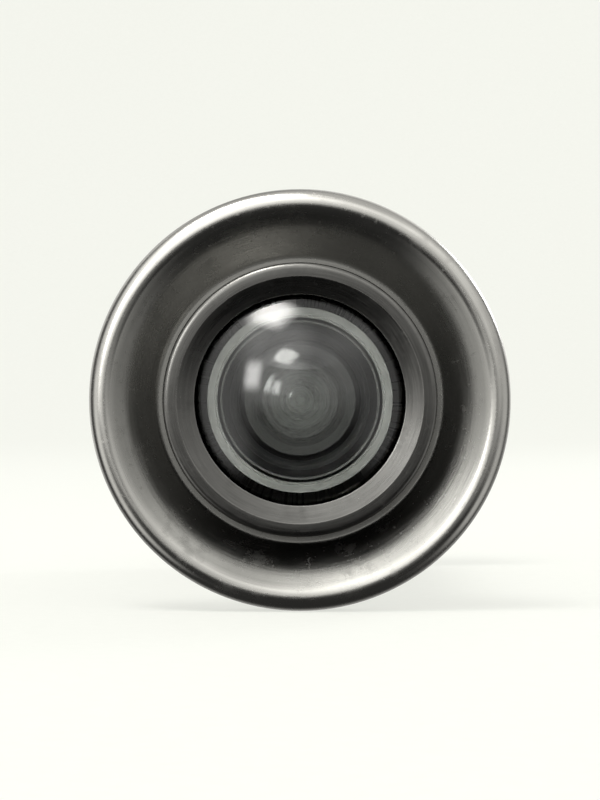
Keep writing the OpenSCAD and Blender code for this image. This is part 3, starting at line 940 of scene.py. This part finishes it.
def studio_floor():
    """A wide pale floor whose far edge curves up all round, as a backdrop for every side."""
    flat, bend, wall = 550, 350, 600
    profile = [(0, 0), (50, 0), (150, 0), (300, 0), *arc((flat, bend), bend, -90, 0)]
    bowl = Turning(128).along([*profile, (flat + bend, bend + wall)])
    obj = solid("studio_floor", [(x, z, y) for x, y, z in bowl.verts], bowl.faces, sharp=180)
    if obj.data.polygons[0].normal.z < 0:
        obj.data.flip_normals()
    just_below = 0.00002
    obj.location = (0, (CAD_LO.y + CAD_HI.y) / 2, CAD_LO.z - just_below)
    p = Paint("studio_pale")
    grain = p.noise(900, 4, 0.6)
    color = p.mix(p.span(grain, 0.3, 0.7), (0.18, 0.181, 0.173), (0.165, 0.167, 0.159))
    p.set(color=color, rough=0.9, spec=0.2, normal=p.bump(grain, 0.05, 0.0001))
    p.set(glow_color=(0.900, 0.910, 0.850), glow=0.74)
    # Its underside is open, so that the viewer can be looked at from below
    mix = p.node("ShaderNodeMixShader", Fac=p.node("ShaderNodeNewGeometry").outputs["Backfacing"])
    p.feed(mix.inputs[1], p.shader.outputs[0])
    p.feed(mix.inputs[2], p.node("ShaderNodeBsdfTransparent").outputs[0])
    p.feed(p.out.inputs["Surface"], mix.outputs[0])
    obj.data.materials.append(p.material)
    # Reflections see the room instead of the floor, as they do where the viewer hangs in a door
    obj.visible_glossy = False


def softbox(name, place, size, power, color):
    """An area light aimed at the viewer. Its cloth is brightest in the middle, so its reflections
    have soft edges."""
    light = bpy.data.lights.new(name, "AREA")
    light.shape = "RECTANGLE"
    light.size, light.size_y = size
    light.energy = power
    light.color = color
    light.use_nodes = True
    n = Nodes(light.node_tree)
    across = n.node("ShaderNodeSeparateXYZ", Vector=n.node("ShaderNodeNewGeometry").outputs["Parametric"])
    shares = []
    for side in across.outputs[:2]:
        off_centre = n.math("ABSOLUTE", n.math("SUBTRACT", side, 0.5))
        shares.append(n.span(off_centre, 0.5, 0.12, 0.0, 1.9, smooth=True))
    n.feed(n.tree.nodes["Emission"].inputs["Strength"], n.math("MULTIPLY", *shares))
    obj = bpy.data.objects.new(name, light)
    bpy.context.scene.collection.objects.link(obj)
    obj.location = place
    obj.rotation_euler = (-Vector(place)).to_track_quat("-Z", "Y").to_euler()


def room(base, windows):
    """The room that surrounds the viewer: a dim even light with soft-edged bright windows. A window is
    (towards, half width, half height, softness, strength), with its angles in degrees."""
    world = bpy.data.worlds.new("room")
    world.use_nodes = True
    n = Nodes(world.node_tree)
    facing = n.node("ShaderNodeTexCoord").outputs["Generated"]
    total = base
    for towards, half_width, half_height, soft, strength in windows:
        ahead = Vector(towards).normalized()
        right = ahead.cross(Vector((0, 0, 1))).normalized()
        front = n.dot(facing, ahead)
        share = strength
        for sideways, half in ((right, half_width), (right.cross(ahead), half_height)):
            off_centre = n.math("ABSOLUTE", n.math("ARCTAN2", n.dot(facing, sideways), front))
            edge, core = math.radians(half + soft), math.radians(half - soft)
            share = n.math("MULTIPLY", n.span(off_centre, edge, core, smooth=True), share)
        total = n.math("ADD", share, total)
    back = n.tree.nodes["Background"]
    n.feed(back.inputs["Color"], (1.0, 0.995, 0.965))
    n.feed(back.inputs["Strength"], total)
    bpy.context.scene.world = world


def camera_in_front(lens_mm=120.0, sensor_mm=36.0, share=0.72, picture=(600, 800)):
    """A camera straight in front of the flange, which takes up this share of the picture's width."""
    width = 2 * CAD_HI.x / share
    distance = width * lens_mm / (sensor_mm * picture[0] / picture[1])
    camera = bpy.data.cameras.new("camera")
    camera.lens, camera.sensor_width = lens_mm, sensor_mm
    camera.clip_start, camera.clip_end = 0.005, 5
    obj = bpy.data.objects.new("camera", camera)
    bpy.context.scene.collection.objects.link(obj)
    obj.location = (0, CAD_LO.y - distance, 0)
    obj.rotation_euler = (math.radians(90), 0, 0)
    bpy.context.scene.camera = obj


studio_floor()
softbox("key_top", (-0.16, -0.16, 0.50), (0.36, 0.30), 1.7, (1.0, 0.985, 0.95))
softbox("front_left", (-0.30, -0.40, 0.16), (0.16, 0.26), 0.36, (1.0, 0.99, 0.97))
softbox("back_right", (0.34, 0.34, 0.22), (0.24, 0.24), 0.6, (0.97, 0.985, 1.0))
room(0.045, [
    ((-0.40, -1, 0.62), 21, 30, 12, 2.4),
    ((-1, -0.50, 0.15), 20, 50, 14, 1.25),
    ((1, -0.30, 0.1), 24, 45, 14, 0.8),
    ((0.50, -1, 0.50), 20, 26, 16, 1.2),
    ((0.0, -0.25, 1), 45, 38, 18, 0.85),
    ((0.0, 1, 0.05), 62, 60, 22, 0.45),
    ((0.6, 1, 0.5), 24, 26, 12, 0.8),
    ((-0.9, 1, 0.35), 14, 30, 10, 0.6),
])
bpy.context.scene.view_settings.view_transform = "Standard"
camera_in_front()
